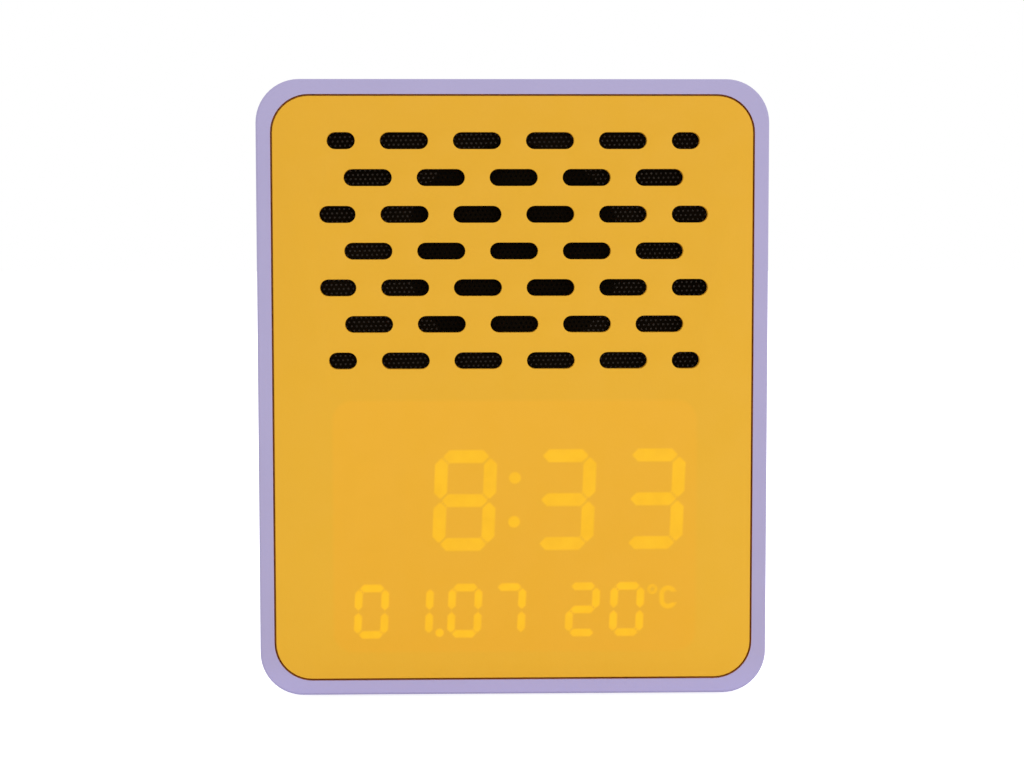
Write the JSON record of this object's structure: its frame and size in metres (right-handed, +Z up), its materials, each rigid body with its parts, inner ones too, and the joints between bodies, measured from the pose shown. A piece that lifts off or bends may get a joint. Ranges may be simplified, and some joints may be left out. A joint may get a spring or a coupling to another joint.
{
  "type": "talking clock",
  "caption": "Upright lilac table clock with a slotted mustard front over a speaker, lit digits showing through below, a talk button on top, and rear buttons and battery door.",
  "frame": {"origin": "on the standing surface, under the middle of the clock's width and depth", "axes": "+Z up, front face towards -Y, +X to the right as seen from the front"},
  "size_m": [0.1, 0.0448, 0.1226],
  "materials": {
    "case": "fine matte moulded lilac plastic",
    "plate": "matte mustard plastic, translucent where it is thin",
    "mesh": "black coated perforated steel",
    "diffuser": "milky film",
    "reflector": "white moulded plastic",
    "board": "green solder resist over glass fibre board",
    "screw": "zinc plated steel",
    "ribbon": "white flat ribbon",
    "basket": "black painted pressed steel",
    "film": "thin black polyester film",
    "steel": "zinc plated steel",
    "chip": "black moulded epoxy",
    "can": "drawn aluminium",
    "capacitor": "dark red dipped epoxy",
    "header": "natural white nylon",
    "wire": "soft insulated wire",
    "sensor": "black epoxy bead on tinned legs",
    "switch": "black moulded switch body",
    "socket": "bright nickel plated steel",
    "insulator": "black insulating plastic",
    "talk": "matte mustard plastic",
    "button": "matte mustard plastic",
    "plunger": "off-white moulded plastic",
    "door": "fine matte moulded lilac plastic",
    "cell": "printed film over a steel can",
    "contact": "nickel plated spring steel",
    "foot": "grey soft rubber"
  },
  "bodies": {
    "case": {"case_shell": "case", "front_plate": "plate", "speaker_mesh": "mesh", "display_diffuser": "diffuser", "display_reflector": "reflector", "display_board": "board", "display_ribbon": "ribbon", "speaker_frame": "basket", "speaker_diaphragm": "film", "speaker_pot": "steel", "speaker_terminals": "board", "rear_cover": "case", "cover_screws": "screw", "main_board": "board", "clock_chip": "chip", "voice_chip": "chip", "crystal_can": "can", "filter_capacitor": "capacitor", "lead_sockets": "header", "lead_wires": "wire", "temperature_sensor": "sensor", "button_switches": "switch", "volume_switch": "switch", "power_socket": "socket", "socket_tongue": "insulator", "talk_switch": "switch", "talk_board": "board", "contacts_left": "contact", "contacts_right": "contact", "battery_1": "cell", "battery_2": "cell", "battery_3": "cell", "foot_front": "foot", "foot_rear": "foot"},
    "talk_button": {"talk_button": "talk", "talk_plunger": "plunger"},
    "battery_door": {"battery_door": "door"},
    "volume_knob": {"volume_knob": "button"},
    "mode_button": {"mode_button": "button", "mode_plunger": "plunger"},
    "set_button": {"set_button": "button", "set_plunger": "plunger"},
    "plus_button": {"plus_button": "button", "plus_plunger": "plunger"},
    "minus_button": {"minus_button": "button", "minus_plunger": "plunger"}
  },
  "joints": [
    {"name": "talk_press", "type": "slide", "parent": "case", "child": "talk_button", "axis": [0, 0, -1], "range_m": [0, 0.0006], "stiffness_N_per_m": 900, "springref_m": -0.0006},
    {"name": "volume_slide", "type": "slide", "parent": "case", "child": "volume_knob", "axis": [1, 0, 0], "range_m": [-0.002, 0.002]},
    {"name": "door_tilt", "type": "hinge", "parent": "case", "child": "battery_door", "pos_m": [0, 0.0216, 0.0066], "axis": [-1, 0, 0], "range_deg": [0, 75]},
    {"name": "mode_press", "type": "slide", "parent": "case", "child": "mode_button", "axis": [0, -1, 0], "range_m": [0, 0.0005], "stiffness_N_per_m": 500},
    {"name": "set_press", "type": "slide", "parent": "case", "child": "set_button", "axis": [0, -1, 0], "range_m": [0, 0.0005], "stiffness_N_per_m": 500},
    {"name": "plus_press", "type": "slide", "parent": "case", "child": "plus_button", "axis": [0, -1, 0], "range_m": [0, 0.0005], "stiffness_N_per_m": 500},
    {"name": "minus_press", "type": "slide", "parent": "case", "child": "minus_button", "axis": [0, -1, 0], "range_m": [0, 0.0005], "stiffness_N_per_m": 500}
  ]
}
